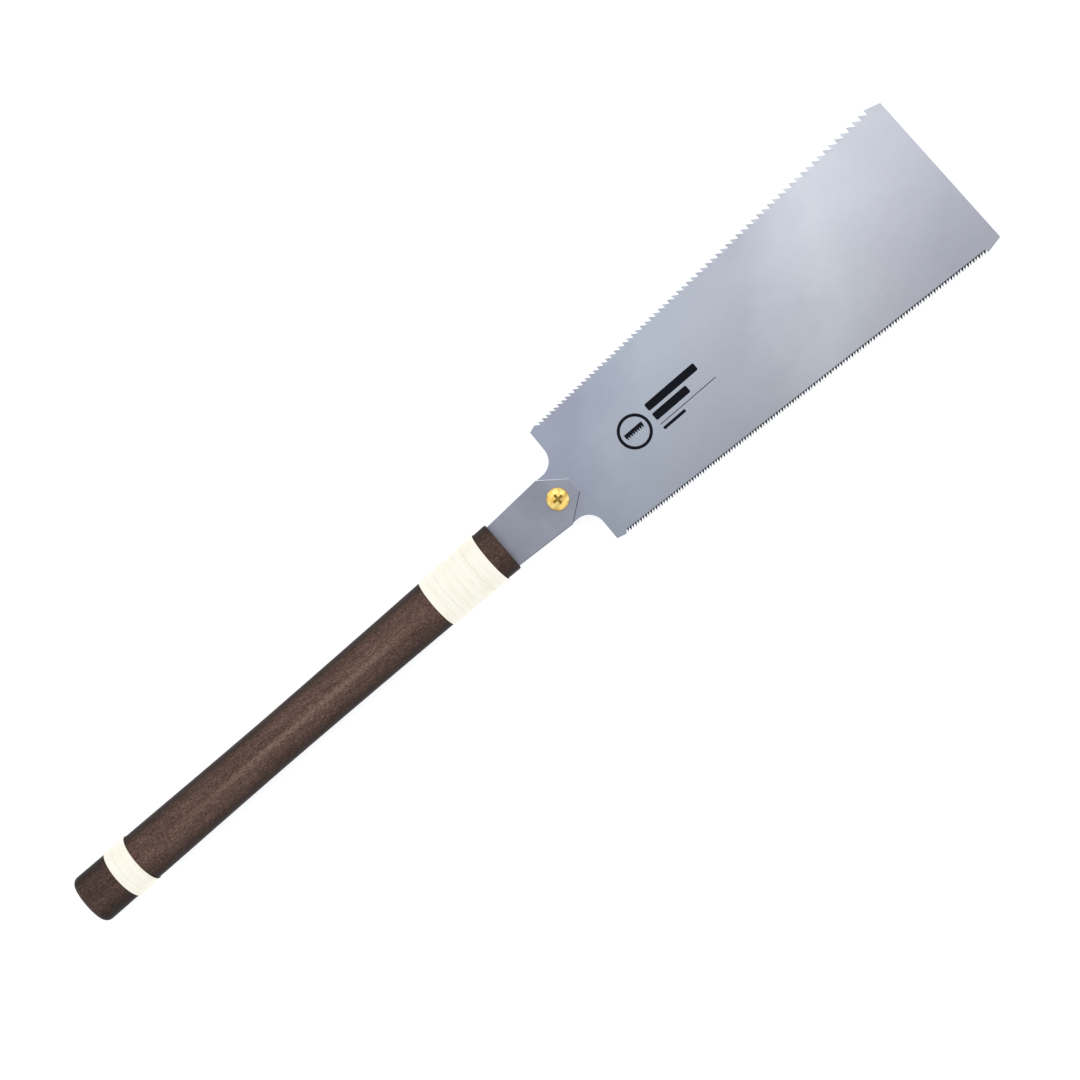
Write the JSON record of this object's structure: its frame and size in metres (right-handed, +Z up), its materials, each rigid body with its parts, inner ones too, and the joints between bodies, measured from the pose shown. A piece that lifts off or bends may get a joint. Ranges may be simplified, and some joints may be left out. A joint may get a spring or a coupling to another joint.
{
  "type": "japanese pull saw",
  "caption": "Double-edged pull saw with a thin tapered blade, rip teeth on one edge and crosscut teeth on the other, clamped by a screw in a steel holder on a cane-wrapped wooden handle.",
  "frame": {"origin": "under the middle of the saw's length, on the bench that it lies on, on the line of the handle", "axes": "+X from the butt of the handle to the toe of the blade, +Y to the rip teeth, +Z up, square to the blade, on the side of the screw's head"},
  "size_m": [0.5584, 0.094, 0.0228],
  "materials": {
    "blade_steel": "satin polished spring steel",
    "holder_steel": "matt grey steel sheet",
    "screw_brass": "bright brass",
    "stained_wood": "dark stained, open grain, low sheen",
    "cane": "pale split cane strip, close wound"
  },
  "bodies": {
    "handle": {"handle_grip": "stained_wood", "handle_pins": "holder_steel", "holder_front_plate": "holder_steel", "holder_back_plate": "holder_steel", "holder_spacer": "holder_steel", "holder_rivets": "holder_steel", "front_wrap": "cane", "rear_wrap": "cane"},
    "blade": {"blade": "blade_steel"},
    "screw": {"clamp_screw": "screw_brass"},
    "nut": {"clamp_nut": "screw_brass"}
  },
  "joints": [
    {"name": "blade_slide", "type": "slide", "parent": "handle", "child": "blade", "axis": [1, 0, 0], "range_m": [0, 0.055]},
    {"name": "screw_turn", "type": "hinge", "parent": "handle", "child": "screw", "pos_m": [0.0277, 0, 0.01138], "axis": [0, 0, 1], "range_deg": [0, 360]},
    {"name": "nut_travel", "type": "slide", "parent": "handle", "child": "nut", "axis": [0, 0, -1], "range_m": [0, 0.0008]}
  ],
  "couplings": [
    {"joint": "screw_turn", "follows": "nut_travel", "rad_per_m": 7853.9}
  ]
}
